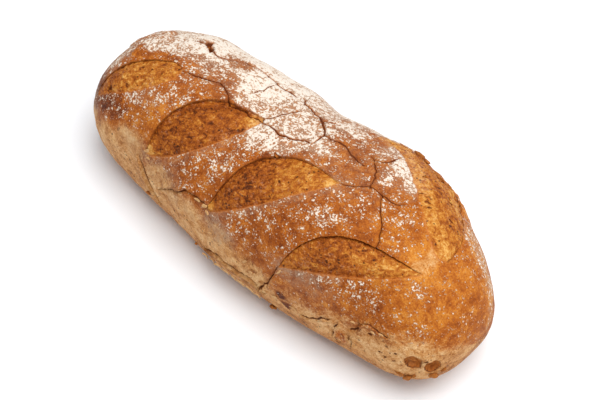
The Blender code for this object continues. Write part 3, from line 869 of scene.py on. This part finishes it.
@dataclass
class Crust:
    """The loaf itself: one closed skin, with its scores, cracks and pits in the mesh."""

    form: LoafForm = field(default_factory=LoafForm)
    rings: int = 400
    spokes: int = 248
    end_height: float = 0.06
    pulled_pits: int = 2
    pit_walls: tuple[float, float] = (1.02, 0.8)
    pit_edge: tuple[float, float] = (0.0003, 0.0012)
    plate_height: float = 0.0011
    plate_edge: tuple[float, float] = (0.0003, 0.0007)
    wander_mm: float = 4.5
    border_wander: float = 6.0
    border_fade: tuple[float, float] = (19.0, -17.0)
    far_border: tuple[float, float] = (84.0, 104.0)
    texture_end: tuple[float, float] = (126.0, 112.0)
    base_flour_loss: float = 0.75
    toast: float = 0.64
    # Painted shade near the floor: the base's tone drops by this much between the two rolls below, on both
    # sides.
    contact_shade: float = 0.2
    contact_shade_rolls: tuple[float, float] = (92.0, 116.0)
    heel_veil: float = 0.3
    heel_veil_place: tuple[float, float] = (2.0, 3.0)
    heel_veil_end: float = 0.084
    spoke_share: tuple = (
        *((-180, 0.10), (-132, 0.14), (-122, 0.9), (-95, 1.0), (72, 1.0)),
        *((100, 0.7), (118, 0.6), (130, 0.14), (180, 0.10)),
    )
    scores: tuple[Score, ...] = each(
        Score,
        ((-0.137, -60), (-0.088, -6), 0.0138, (0.61, 0.57), 0.0107, (1.05, 0.51), 0.0014, 0.0010),
        ((-0.075, -64), (-0.022, 2), 0.0214, (0.95, 0.89), 0.0110, (0.76, 0.91), 0.0024, 0.0014),
        ((-0.017, -63), (0.045, -4), 0.0236, (1.31, 1.10), 0.0065, (0.42, 0.61), 0.0022, 0.0013),
        ((0.045, -66), (0.117, -15), 0.0204, (0.93, 1.25), 0.0035, (1.20, 0.60), 0.0024, 0.0013),
        ((0.031, 49), (0.122, 4), 0.0290, (0.70, 0.78), 0.0076, (2.00, 0.40), 0.0004, 0.0010, 0.0015),
    )
    cracks: tuple[Crack, ...] = each(
        Crack,
        (((-87, -7), (-79, -4), (-70, 0), (-62, 3), (-55, 1), (-50, -2)), 0.00055, 0.0022),
        (((-50, -2), (-46, -5), (-42, -2), (-36, 0), (-32, -2), (-28, 0), (-23, 0)), 0.0006, 0.0020),
        (((-24, 0), (-16, 0), (-10, 0), (-4, 1), (0, 2), (5, 6), (12, 7)), 0.0005, 0.0018),
        (((12, 7), (12, 12), (12, 17)), 0.00045, 0.0014),
        (((-104, 22), (-100, 25), (-96, 30)), 0.0009, 0.0030, 0.0004),
        (((-102, 24), (-97, 26), (-93, 23), (-89, 20)), 0.0012, 0.0034, 0.0004),
        (((-90, 21), (-80, 21), (-74, 26), (-68, 30), (-62, 32), (-53, 32), (-44, 32)), 0.0008, 0.0024),
        (((-44, 32), (-36, 31), (-26, 32)), 0.00045, 0.0014),
        (((-21, 38), (-20, 32), (-10, 30), (-4, 30), (2, 26), (8, 21), (12, 17)), 0.0006, 0.0022, 0.0005),
        (((12, 17), (18, 17), (24, 18), (30, 17), (36, 15), (42, 14), (47, 14)), 0.0006, 0.0020, 0.0004),
        (((2, 26), (6, 30), (11, 31)), 0.0004, 0.0016),
        (((42, 23), (48, 20), (54, 15), (58, 11), (60, 5)), 0.0005, 0.0020),
        (((60, 5), (66, 6), (70, 6), (75, 6), (79, 8), (82, 12)), 0.0004, 0.0016),
        (((48, 20), (51, 22), (54, 25), (55, 33)), 0.0003, 0.0014, 0.0005),
        (((46, -4), (51, -2), (56, 2), (60, 5)), 0.0004, 0.0016),
        (((70, 6), (72, 2), (76, -3), (82, -9), (85, -15), (88, -19), (88, -22)), 0.0004, 0.0018, 0.0004),
        (((-44, 12), (-42, 18), (-42, 28)), 0.0002, 0.0008),
        (((-24, 1), (-20, 7), (-16, 16), (-14, 22)), 0.0002, 0.0007),
        (
            ((-61, -104), (-66, -95), (-71, -89), (-74, -83), (-77, -77), (-81, -72)),
            0.0017, 0.0040, 0.0010, 0.0005,
        ),
        (
            ((-60, -84), (-50, -75), (-42, -70), (-35, -64), (-28, -62), (-20, -62), (-16, -62)),
            0.0006, 0.0020, 0.0009,
        ),
        (
            ((37, -101), (32, -97), (24, -96), (16, -98), (8, -97), (0, -96), (-8, -101), (-14, -105)),
            0.0012, 0.0036, 0.0009,
        ),
        (((45, -66), (42, -76), (40, -84), (36, -92), (32, -103)), 0.00055, 0.0022, 0.0006),
        (((85, -82), (80, -84), (73, -92), (66, -96)), 0.0006, 0.0020, 0.0009),
        (((121, -67), (114, -68), (108, -67), (102, -71)), 0.00022, 0.0007, 0.0008, 0.0016),
        (((101.6, -69), (102.2, -72), (103, -76), (101, -79), (98, -82)), 0.0006, 0.0020, 0.0006, 0.0006),
        (((90, -80), (88, -90), (87, -102), (90, -110)), 0.0005, 0.0016, 0.0009),
        (((98, -86), (101, -94), (100, -104)), 0.0005, 0.0016, 0.0009),
    )
    pits: tuple[Pit, ...] = each(
        Pit,
        (0.1384, -79.5, 0.0054, 0.0058, 0.0040), (0.1474, -83.5, 0.0050, 0.0066, 0.0042),
        (-0.0995, 23.8, 0.0034, 0.0016, 0.0040), (-0.0966, 26.4, 0.0022, 0.0032, 0.0040),
        (-0.0930, 22.8, 0.0036, 0.0014, 0.0036), (-0.1264, -46, 0.0026, 0.0022, 0.0034),
        (-0.1145, -20, 0.0018, 0.0014, 0.0022), (-0.1295, -27, 0.0014, 0.0011, 0.0016),
        (-0.1143, -36, 0.0013, 0.0011, 0.0014), (0.0035, -16, 0.0020, 0.0009, 0.0016),
        (0.0010, -11, 0.0022, 0.0009, 0.0016), (0.0780, -37, 0.0009, 0.0010, 0.0014),
        (0.0890, 24, 0.0020, 0.0008, 0.0016), (0.0872, 27, 0.0014, 0.0011, 0.0016),
        (0.0914, 22.5, 0.0018, 0.0007, 0.0014), (0.0811, 25.5, 0.0010, 0.0008, 0.0014),
        (0.0736, 36, 0.0011, 0.0009, 0.0014), (0.0550, 52, 0.0016, 0.0009, 0.0016),
        (0.1048, 30, 0.0016, 0.0013, 0.0014), (0.0924, 41.5, 0.0012, 0.0009, 0.0014),
        (0.0957, 40, 0.0010, 0.0010, 0.0012), (0.1231, -86, 0.0014, 0.0011, 0.0008),
        (0.1280, -87, 0.0011, 0.0009, 0.0008), (0.1285, -77, 0.0014, 0.0008, 0.0008),
        (0.1192, -84, 0.0010, 0.0009, 0.0008), (0.1223, -75, 0.0011, 0.0009, 0.0008),
        (0.1442, -74.6, 0.0011, 0.0009, 0.0014), (0.0988, -90.4, 0.0013, 0.0012, 0.0014),
        (0.1104, -74, 0.0020, 0.0008, 0.0008),
    )
    border: tuple[float, ...] = (-86, -74, -71, -78, -88, -74, -50)
    flour: Painting = Painting(
        0.36,
        each(
            Patch,
            (-72, 42, 78, 34, 0.83), (-96, 12, 26, 12, 0.73), (-100, 34, 12, 18, 0.84),
            (-42, 10, 30, 14, 0.66), (-44, 30, 20, 20, 0.84), (-71, 25, 11, 7, 0.46, -10),
            (-74, 6, 20, 8, 0.6), (-62, 6, 9, 7, 0.48), (-122, 3, 12, 8, 0.72), (-118, 50, 20, 16, 0.66),
            (-2, 28, 24, 24, 0.67), (26, 34, 22, 14, 0.5), (5, 55, 46, 12, 0.72),
            (-17, -6, 11, 14, 0.72, 20), (-25, -30, 12, 18, 0.55, 10), (-42, -50, 14, 14, 0.46, 20),
            (-54, -68, 16, 9, 0.46, 10), (6, 6, 24, 10, 0.69), (67, 27, 17, 13, 0.76, -35),
            (56, 38, 10, 7, 0.73), (62, 15, 9, 8, 0.57), (40, 46, 12, 8, 0.35), (44, 20, 10, 12, 0.46),
            (-82, -20, 20, 28, 0.5, 15), (-92, -12, 9, 10, 0.42), (-98, -38, 16, 10, 0.55, 30),
            (-120, -54, 20, 11, 0.45), (-93, -54, 9, 9, 0.4), (20, -36, 42, 18, 0.44, 25),
            (50, -8, 24, 14, 0.44), (56, -26, 16, 5, 0.53, 37), (12, -62, 26, 8, 0.43),
            (80, -2, 18, 16, 0.46), (100, -4, 12, 16, 0.44), (84, -52, 44, 14, 0.47), (-5, -4, 7, 6, 0.76),
            (-106, 8, 10, 8, 0.72), (-30, -29, 8, 8, 0.46), (16, 33, 10, 8, 0.72), (46, 33, 10, 8, 0.63),
            (100, -19, 9, 6, 0.5, 30), (-3, -7, 12, 6, 0.66), (128, -12, 26, 56, 0.35),
            (122, -26, 7, 6, 0.52), (136, -52, 8, 8, 0.53), (128, 46, 26, 14, 0.56),
            (124, -72, 16, 8, 0.62), (-130, 14, 12, 10, 0.62), (-142, -14, 12, 24, 0.6),
            (-128, -62, 14, 12, 0.44), (0, 90, 130, 22, 0.56),
        ),
    )
    veil: Painting = Painting(
        0.0,
        each(
            Patch,
            (-145, -18, 14, 26, 0.55), (-143, -62, 7, 12, 0.7), (-136, -74, 9, 7, 0.6),
            (-92, -66, 14, 9, 0.25), (-3, -71, 13, 9, 0.55), (-66, -72, 10, 10, 0.3),
            (-58, -63, 20, 6, 0.25), (60, -66, 22, 9, 0.34), (-46, -74, 28, 9, 0.22),
            (-60, 40, 90, 40, 0.4), (30, 10, 40, 24, 0.2), (130, 46, 30, 14, 0.3),
        ),
    )
    bake: Painting = Painting(
        0.45,
        each(
            Patch,
            (-118, -58, 20, 11, 0.19), (-92, -52, 12, 8, 0.58), (-130, 14, 14, 14, 0.5),
            (-143, -62, 11, 26, 0.16), (-80, -38, 16, 14, 0.56, 20), (-100, -66, 16, 8, 0.56),
            (30, -38, 44, 26, 0.42), (-60, -66, 24, 6, 0.3), (62, -2, 24, 22, 0.46), (94, 0, 22, 24, 0.55),
            (96, -40, 26, 12, 0.58), (84, -60, 44, 16, 0.46), (57, -97, 4, 3, 0.06), (53, -89, 4, 3, 0.06),
            (94, 64, 22, 12, 0.7), (94, -94, 6, 9, 0.45), (60, -60, 14, 8, 0.38), (132, 0, 26, 64, 0.58),
            (115, -11, 10, 17, 0.74), (134, 44, 26, 16, 0.74), (-2, -72, 10, 9, 0.32), (0, -81, 4, 3, 0.1),
            (150, -30, 8, 40, 0.52), (40, 46, 10, 8, 0.75),
        ),
    )
    glow: Painting = Painting(
        0.5,
        each(
            Patch,
            (-112, -30, 30, 32, 0.6), (-130, -42, 9, 12, 0.46), (-50, -32, 32, 34, 0.36),
            (-26, -3, 7, 7, 0.74), (-74, -61, 5, 5, 0.8), (-2, -38, 16, 34, 0.34), (26, -16, 18, 15, 0.6),
            (43, -6, 6, 6, 0.88), (-15, -62, 5, 5, 0.8), (74, -40, 30, 22, 0.4), (96, -33, 16, 9, 0.6),
            (108, -24, 16, 10, 0.61), (116, -15, 8, 6, 0.74), (85, 34, 46, 28, 0.56),
            (86, 36, 24, 8, 0.54, -30), (92, 47, 16, 6, 0.68, -10), (80, 28, 38, 5, 0.72, -33),
            (40, 46, 12, 8, 0.76), (114, 8, 13, 10, 0.71),
        ),
    )
    rough: Painting = Painting(
        1.0,
        each(
            Patch,
            (-130, 6, 14, 20, 3.6), (-30, -84, 34, 14, 2.4), (24, -84, 26, 16, 2.6), (78, -88, 26, 10, 2.2),
            (128, -66, 22, 14, 2.2), (70, 56, 34, 8, 3.6, -8),
        ),
    )
    raised: Painting = Painting(
        0.0,
        each(Patch, (-131, 4, 13, 22, 0.0013), (95, -95, 7, 9, 0.0010)),
    )
    scorched: Painting = Painting(
        0.0,
        each(
            Patch,
            (94, -94, 5, 8, -0.8), (57, -97, 4, 3, -0.9), (53, -89, 4, 3, -0.8), (-64, -74, 10, 10, 0.5),
            (-2, -74, 10, 8, 0.45), (30, -84, 12, 8, 0.5), (-30, -74, 10, 8, 0.3),
            (-92, -66, 15, 9, 0.9, 10), (-112, -76, 10, 7, 0.4), (-136, -82, 14, 8, 0.4),
            (0, -81, 4, 3, -0.7), (-60, -80, 12, 8, 0.5), (4, -82, 12, 6, 0.4), (110, -21, 6, 4, 0.6, 30),
            (115, -13, 6, 6, 0.6), (117, -3, 5, 7, 0.65), (116, 7, 5, 7, 0.65), (115, 16, 4, 6, 0.5),
        ),
    )

    def stations(self) -> np.ndarray:
        """Stations of the rings, evenly spaced as measured over the crest."""
        half = self.form.length / 2
        fine = half * np.sin(np.linspace(-np.pi / 2, np.pi / 2, 8001))
        rise = np.hypot(np.diff(fine), np.diff(self.end_height * self.form.ring_scale(fine)))
        total = np.concatenate([[0], np.cumsum(rise)])
        return np.interp(np.linspace(0, total[-1], self.rings + 2)[1:-1], total, fine)

    def rolls(self) -> np.ndarray:
        """Rolls of the spokes, spaced by the inverse of the running total of their shares."""
        fine = np.linspace(-180, 180, 4001)
        total = np.cumsum(np.interp(fine, *np.array(self.spoke_share, float).T))
        total = (total - total[0]) / (total[-1] - total[0])
        return np.interp(np.arange(self.spokes) / self.spokes, total, fine)

    def pit_depths(self, points: np.ndarray) -> np.ndarray:
        """How deep each point lies in a pit: a flat floor with steep walls, and 0 outside the oval."""
        depths = [pit.depth * smooth(*self.pit_walls, pit.radius(self.form, points)) for pit in self.pits]
        return np.max(depths, axis=0)

    def texture(self, points: np.ndarray, opened: np.ndarray, pale: np.ndarray) -> np.ndarray:
        """Fine unevenness along the normal: lumpy in the scores, scaly on the base, and faint on the skin."""
        skin = 0.00020 * layered_noise(points, 0.007, 3, 3) + 0.00012 * layered_noise(points, 0.0024, 2, 9)
        pocked = 0.0003 * np.abs(layered_noise(points, 0.0028, 2, 27))
        inner = 0.00042 * layered_noise(points, 0.0055, 4, 21) - pocked
        scaly = 0.00030 * layered_noise(points * (1, 1, 0.6), 0.0042, 4, 33)
        outside = skin * (1 - pale) + scaly * pale
        return np.where(opened, inner, outside)

    def lay_out(self) -> None:
        """Lays a grid on the body and draws it to the scores' edges, the cracks and the first pits' rims."""
        form = self.form
        station, roll = (grid.ravel() for grid in np.meshgrid(self.stations(), self.rolls(), indexing="ij"))
        points, normals = form.skin(station, roll), form.outwards(station, roll)
        self.openings = [Opening(form, score) for score in self.scores]
        self.paths = [CrackPath(form, crack, number) for number, crack in enumerate(self.cracks)]
        self.touched = [opening.near(points, normals) for opening in self.openings]
        pairs = list(zip(self.openings, self.touched))
        self.inside = [opening.holds(points[rows]) for opening, (rows, _) in pairs]
        for opening, (rows, facing) in pairs:
            points[rows] = opening.pull(points[rows], facing)
        points = form.skin(*form.locate(points))
        for path in self.paths:
            points = path.pull(points)
        for pit in self.pits[: self.pulled_pits]:
            points = pit.pull(form, points)
        self.station, self.roll = form.locate(points)
        self.points, self.normals = form.skin(self.station, self.roll), form.outwards(self.station, self.roll)

    def paleness(self, wander: np.ndarray) -> np.ndarray:
        """How pale each place is: 1 below an uneven border, 0 above it, with the scorched patches added."""
        border = self.form.along(self.border, self.station)
        border = border + self.border_wander * layered_noise(self.points, 0.014, 3, 63)
        far = smooth(*self.far_border, self.roll + 1.2 * wander[:, 0])
        pale = np.maximum(smooth(*self.border_fade, self.roll - border), far)
        return np.clip(pale + self.scorched.at(self.station, self.roll, wander), 0, 1)

    def open_scores(self, height: np.ndarray) -> tuple[np.ndarray, dict[Layer, np.ndarray]]:
        """Adds the scores' relief to the heights.

        Args:
            height: Each point's height along its normal, which is changed in place.

        Returns:
            The sideways shifts, and the layers that tell where the scores and their edges are.
        """
        points = self.points
        shift, fibre = np.zeros_like(points), points.copy()
        ear_gap, heel_gap = (np.full(len(points), FAR) for _ in range(2))
        opened = np.full(len(points), -FAR)
        for opening, (rows, facing), within in zip(self.openings, self.touched, self.inside):
            edges = opening.edges(points[rows])
            risen, over = opening.relief(edges, within, facing)
            height[rows] += risen
            shift[rows] += over[:, None] * opening.sideways
            to_ear, to_heel = (np.minimum(edge / MM + FAR * (1 - facing), FAR) for edge in edges[:2])
            ear_gap[rows] = np.minimum(ear_gap[rows], to_ear)
            heel_gap[rows] = np.minimum(heel_gap[rows], to_heel)
            held = rows[within]
            flat = opening.flatten(points[held]) * (0.62, 1.0)
            fibre[held] = np.column_stack([flat, points[held, 2]])
            opened[rows] = np.maximum(opened[rows], np.minimum(to_ear, to_heel) * np.where(within, 1, -1))
        return shift, {Layer.OPENED: opened, Layer.EAR: ear_gap, Layer.HEEL: heel_gap, Layer.FIBRE: fibre}

    def split_cracks(self, height: np.ndarray) -> np.ndarray:
        """Adds the cracks' relief to the heights in place, and returns the gap to the nearest crack."""
        split = np.full(len(height), FAR)
        for path in self.paths:
            gaps, sides = path.gap(self.points)
            height += path.relief(gaps, sides)
            split = np.minimum(split, gaps)
        return split

    def build(self) -> bpy.types.Object:
        """The loaf's mesh with its layers: the grid laid out, then moved by all the relief."""
        self.lay_out()
        form, station, roll, points = self.form, self.station, self.roll, self.points
        drawn = [self.wander_mm * layered_noise(points, 0.012, 3, seed) for seed in (51, 58)]
        wander = np.column_stack(drawn)
        pale = self.paleness(wander)
        height = form.swelling(station, roll)
        shift, layers = self.open_scores(height)
        layers[Layer.SPLIT] = self.split_cracks(height)
        pit, side = self.pit_depths(points), np.abs(roll)
        rough = self.rough.at(station, roll, wander)
        texture = self.texture(points, layers[Layer.OPENED] > 0, pale)
        height += texture * rough * smooth(*self.texture_end, side) - pit
        raised = self.raised.at(station, roll, 1.6 * wander)
        height += self.plate_height * smooth(*self.plate_edge, raised)

        middle, spread = self.heel_veil_place
        at_heel = np.exp(-(((layers[Layer.HEEL] - middle) / spread) ** 2))
        at_heel = at_heel * (np.abs(station) < self.heel_veil_end)
        kept_flour = 1 - self.base_flour_loss * pale * (roll < 0)
        layers |= {
            Layer.FLOUR: self.flour.at(station, roll, wander) * kept_flour,
            Layer.VEIL: self.veil.at(station, roll, wander) + self.heel_veil * at_heel,
            Layer.BAKE: self.bake.at(station, roll, wander),
            Layer.GLOW: self.glow.at(station, roll, 0.4 * wander),
            Layer.PALE: pale,
            Layer.PIT: smooth(*self.pit_edge, pit),
            # The toast layer carries painted shade: darker towards the floor.
            Layer.TOAST_AND_SHADE: self.toast - self.contact_shade * smooth(*self.contact_shade_rolls, side),
        }
        tips = np.array([[end * form.length / 2, 0, form.core_height] for end in (-1, 1)])
        moved = points + self.normals * height[:, None] + shift
        piece = make_mesh("crust", np.concatenate([moved, tips]), closed_faces(self.rings, self.spokes))
        for layer, values in layers.items():
            add_layer(piece, layer, np.concatenate([values, values[[0, -1]]]))
        return piece

    def dress(self) -> bpy.types.Object:
        """Builds the loaf, finishes it, and puts it in the place of the plain solid."""
        piece = self.build()
        piece.data.materials.append(CrustFinish().material())
        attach(piece, "root")
        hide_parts("loaf")
        return piece


@dataclass(frozen=True)
class Bit:
    """A crumb or a flake: its place, its full sizes in mm, its turn on the skin, its lift in mm, its curl."""

    station: float
    roll: float
    sizes: tuple[float, float, float]
    turn: float
    lift: float
    curl: float = 0.0


@dataclass(frozen=True)
class BitFinish:
    """Toasted bits of crust: two tones mixed by noise."""

    name: str
    dark: tuple[int, int, int]
    light: tuple[int, int, int]
    relief: float = 0.0005

    def material(self) -> bpy.types.Material:
        """The material: a noise picks a colour between the dark tone and the light one."""
        g = Graph(self.name)
        tone = g.total(0.5, (g.noise(500, 5, 0.7), 1.8))
        height = g.noise(900, 3, 0.6)
        return g.finish(g.ramp(tone, ((0.0, self.dark), (1.0, self.light))), 0.8, g.bump(height, self.relief))


@dataclass
class Bits:
    """One kind of loose bits that cling to the loaf, as one mesh."""

    name: str
    bits: tuple[Bit, ...]
    finish: BitFinish
    form: LoafForm = field(default_factory=LoafForm)
    spokes: int = 20
    rings: int = 11
    ragged: float = 0.3
    squareness: float = 0.8

    def shape(self, bit: Bit, number: int) -> np.ndarray:
        """A bit's closed grid: an ellipsoid with squared corners, ragged at its rim, and bent up lengthwise.

        Args:
            bit: The bit.
            number: Its number, which picks its raggedness.

        Returns:
            Vertex positions, a ring at a time, with the two poles last.
        """
        turn, rise = np.meshgrid(
            np.linspace(0, 2 * np.pi, self.spokes, endpoint=False),
            np.linspace(-np.pi / 2, np.pi / 2, self.rings + 2)[1:-1],
        )
        rounded = np.cos(rise) ** self.squareness
        plan = np.stack([rounded * np.cos(turn), rounded * np.sin(turn), np.sin(rise)], axis=-1)
        plan = np.concatenate([plan.reshape(-1, 3), [[0, 0, -1], [0, 0, 1]]])
        swell = 1 + self.ragged * layered_noise(plan + 10 * number, 0.75, 2, 5)
        plan = plan * swell[:, None] * np.array(bit.sizes) / 2 * MM
        plan[:, 2] += bit.curl * plan[:, 0] ** 2 / (bit.sizes[0] * MM)
        return plan

    def place(self, bit: Bit, plan: np.ndarray) -> np.ndarray:
        """A bit's points moved onto the skin, turned on it and lifted off it."""
        centre, normal, lengthwise, crosswise = self.form.frame_at(bit.station * MM, bit.roll)
        turn = math.radians(bit.turn)
        first = math.cos(turn) * lengthwise + math.sin(turn) * crosswise
        second = np.cross(normal, first)
        return centre + plan[:, :1] * first + plan[:, 1:2] * second + (plan[:, 2:] + bit.lift * MM) * normal

    def dress(self) -> bpy.types.Object:
        """Builds the kind's mesh, finishes it and lets it ride on the loaf."""
        shapes = [self.place(bit, self.shape(bit, number)) for number, bit in enumerate(self.bits)]
        one = closed_faces(self.rings, self.spokes, flipped=True)
        count = len(shapes[0])
        faces = np.concatenate([np.where(one < 0, -1, one + count * number) for number in range(len(shapes))])
        piece = make_mesh(self.name, np.concatenate(shapes), faces)
        piece.data.materials.append(self.finish.material())
        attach(piece, "root")
        return piece


FLAKES = each(
    Bit,
    (-12, -109, (6, 3.4, 1.0), 10, 1.8, 0.5), (-5, -106, (5, 2.6, 0.9), -8, 1.7, 0.5),
    (1, -105, (6, 3.2, 1.0), 16, 1.9, 0.5), (7, -105.5, (7, 3.0, 1.0), 2, 1.8, 0.4),
    (13.5, -106, (5, 3.2, 0.9), -14, 1.8, 0.5), (20, -105.5, (7, 3.4, 1.0), -6, 1.9, 0.4),
    (27, -105, (6, 2.8, 1.0), -16, 1.8, 0.5), (33, -107, (5, 3.0, 0.9), -20, 1.8, 0.5),
    (24, -88, (4.4, 2.4, 0.8), 50, 0.4, 0.5), (27, -84, (3.6, 2.0, 0.8), 20, 0.4, 0.5),
    (34, -90, (4.6, 2.2, 0.8), 70, 0.4, 0.5), (38, -97, (4.0, 2.2, 0.8), 20, 0.5, 0.5),
    (46, -95, (4.4, 2.6, 0.8), 10, 0.4, 0.5), (-74.5, -62, (4.5, 2.2, 0.9), 40, 0.3, 0.4),
    (-72, -66, (3.5, 1.6, 0.8), 10, 0.3, 0.4), (-17.5, -62, (4, 2.2, 0.9), 30, 0.4, 0.3),
    (-14, -64.5, (3.6, 1.8, 0.8), -20, 0.4, 0.4), (-24, -62.5, (5, 1.8, 0.8), 10, 0.4, 0.5),
    (46, -69, (5, 1.8, 0.8), 60, 0.3, 0.4), (60, -94, (6, 2.4, 0.8), -20, 0.3, 0.4),
    (88, -88, (4, 2.2, 0.8), 30, 0.3, 0.4), (93, -95, (6, 2.4, 0.8), 70, 0.3, 0.4),
    (99, -72, (3.4, 1.4, 0.6), 20, 0.2, 0.4), (107, -68.5, (4.0, 1.2, 0.6), 0, 0.2, 0.4),
    (112, -69.5, (3.0, 1.2, 0.6), -10, 0.2, 0.4), (117, -67, (3.6, 1.2, 0.6), 10, 0.2, 0.4),
    (123, -62, (2.6, 1.2, 0.6), 30, 0.2, 0.4), (105, -81, (3.0, 1.2, 0.6), 10, 0.2, 0.4),
    (80, -82.5, (4.4, 1.4, 0.6), 6, 0.2, 0.4), (-8, -77, (4, 1.6, 0.7), 30, 0.2, 0.4),
    (22, -78, (4.4, 1.6, 0.7), 50, 0.2, 0.4), (30, -84, (4, 1.6, 0.7), 60, 0.2, 0.5),
)
CRUMBS = each(
    Bit,
    (41, -119, (3.6, 3.2, 2.6), 20, 1.0), (44, -117, (2.2, 2.0, 1.8), 60, 0.7),
    (133, -106, (5.0, 2.6, 1.6), -20, 0.2), (137, -110, (6.0, 4.0, 2.6), 30, 0.8),
    (140, -106, (3.6, 2.2, 1.6), 70, 0.2), (148, -107, (6.4, 3.4, 2.4), -15, 0.7),
    (151, -99, (3.6, 2.6, 1.8), 40, 0.2), (-72, -104, (3.4, 2.2, 1.8), 10, 0.7),
    (-24, -112, (2.6, 2.0, 1.6), 30, 0.6), (54, 56.5, (9.5, 5.0, 2.6), -22, 0.5, 0.2),
    (59.5, 60, (5.5, 3.6, 2.2), -40, 0.2, 0.2), (73, 53, (6.0, 4.4, 2.0), -30, 0.2, 0.2),
    (81, 57, (5.0, 4.0, 1.8), -10, 0.2, 0.2), (89, 58, (4.0, 3.4, 1.6), -30, 0.1, 0.2),
)


@dataclass(frozen=True)
class Studio:
    """The pale floor, the soft light and the camera."""

    azimuth: float = 44.0
    elevation: float = 54.0
    distance: float = 0.748
    lens: float = 70.0
    centre: tuple[float, float, float] = (0.0, 0.0, 0.035)
    shift_right: float = 0.0066
    shift_up: float = -0.0035
    floor_size: float = 6.0
    floor_drop: float = 0.0003
    world_strength: float = 0.43
    key_power: float = 27.8
    key_size: float = 1.3
    key_distance: float = 1.6
    key_direction: tuple[float, float, float] = (0.2, 0.46, 0.84)

    def axes(self) -> tuple[Vector, Vector, Vector]:
        """The camera's right, up and backward directions, from its azimuth and elevation."""
        a, e = math.radians(self.azimuth), math.radians(self.elevation)
        back = Vector((math.sin(a) * math.cos(e), -math.cos(a) * math.cos(e), math.sin(e)))
        right = Vector((0, 0, 1)).cross(back).normalized()
        return right, back.cross(right), back

    def target(self) -> Vector:
        """The point that the camera looks at."""
        right, up, _ = self.axes()
        return Vector(self.centre) + right * self.shift_right + up * self.shift_up

    def add_camera(self) -> None:
        """Puts the camera at the photograph's angle and makes it the scene's."""
        right, up, back = self.axes()
        data = bpy.data.cameras.new("camera")
        data.lens, data.sensor_width, data.clip_start = self.lens, 36.0, 0.01
        camera = bpy.data.objects.new("camera", data)
        place = self.target() + back * self.distance
        columns = Matrix((right, up, back)).transposed().to_4x4()
        camera.matrix_world = Matrix.Translation(place) @ columns
        bpy.context.scene.collection.objects.link(camera)
        bpy.context.scene.camera = camera

    def add_key(self) -> None:
        """Adds the one soft light, a large square that looks at the loaf from the camera's upper side."""
        direction = sum((axis * share for axis, share in zip(self.axes(), self.key_direction)), Vector())
        data = bpy.data.lights.new("key", "AREA")
        data.size, data.energy = self.key_size, self.key_power
        light = bpy.data.objects.new("key", data)
        place = Matrix.Translation(self.target() + direction.normalized() * self.key_distance)
        light.matrix_world = place @ direction.to_track_quat("Z", "Y").to_matrix().to_4x4()
        bpy.context.scene.collection.objects.link(light)

    def add_floor(self) -> None:
        """Adds the plain floor, one square just below the loaf."""
        half = self.floor_size / 2
        across = ((-half, -half), (half, -half), (half, half), (-half, half))
        corners = np.array([(x, y, -self.floor_drop) for x, y in across])
        floor = make_mesh("floor", corners, np.array([[0, 1, 2, 3]]))
        g = Graph("white_floor")
        floor.data.materials.append(g.finish(linear(250, 252, 255), 0.9, specular=0.0))

    def build(self) -> None:
        """Adds the camera, the floor, the light and the world, and the plain view of colours."""
        scene = bpy.context.scene
        scene.view_settings.view_transform = "Standard"
        self.add_camera()
        self.add_floor()
        self.add_key()
        scene.world = bpy.data.worlds.new("studio")
        scene.world.use_nodes = True
        sky = scene.world.node_tree.nodes["Background"].inputs
        sky["Strength"].default_value = self.world_strength
        sky["Color"].default_value = (0.98, 0.99, 1.0, 1.0)


def report(piece: bpy.types.Object) -> None:
    """Logs a piece's name and its number of faces."""
    LOG.info("%s: %d faces", piece.name, len(piece.data.polygons))


def main() -> None:
    """Builds the stage and every piece in order, and logs each piece's number of faces."""
    logging.basicConfig(level=logging.INFO, format="%(name)s: %(message)s")
    Studio().build()
    report(Crust().dress())
    report(Bits("flakes", FLAKES, BitFinish("pale_flake", (176, 112, 54), (236, 196, 140))).dress())
    report(Bits("crumbs", CRUMBS, BitFinish("toasted_crumb", (110, 54, 16), (206, 130, 60))).dress())
    bpy.context.view_layer.update()


if __name__ == "__main__":
    main()
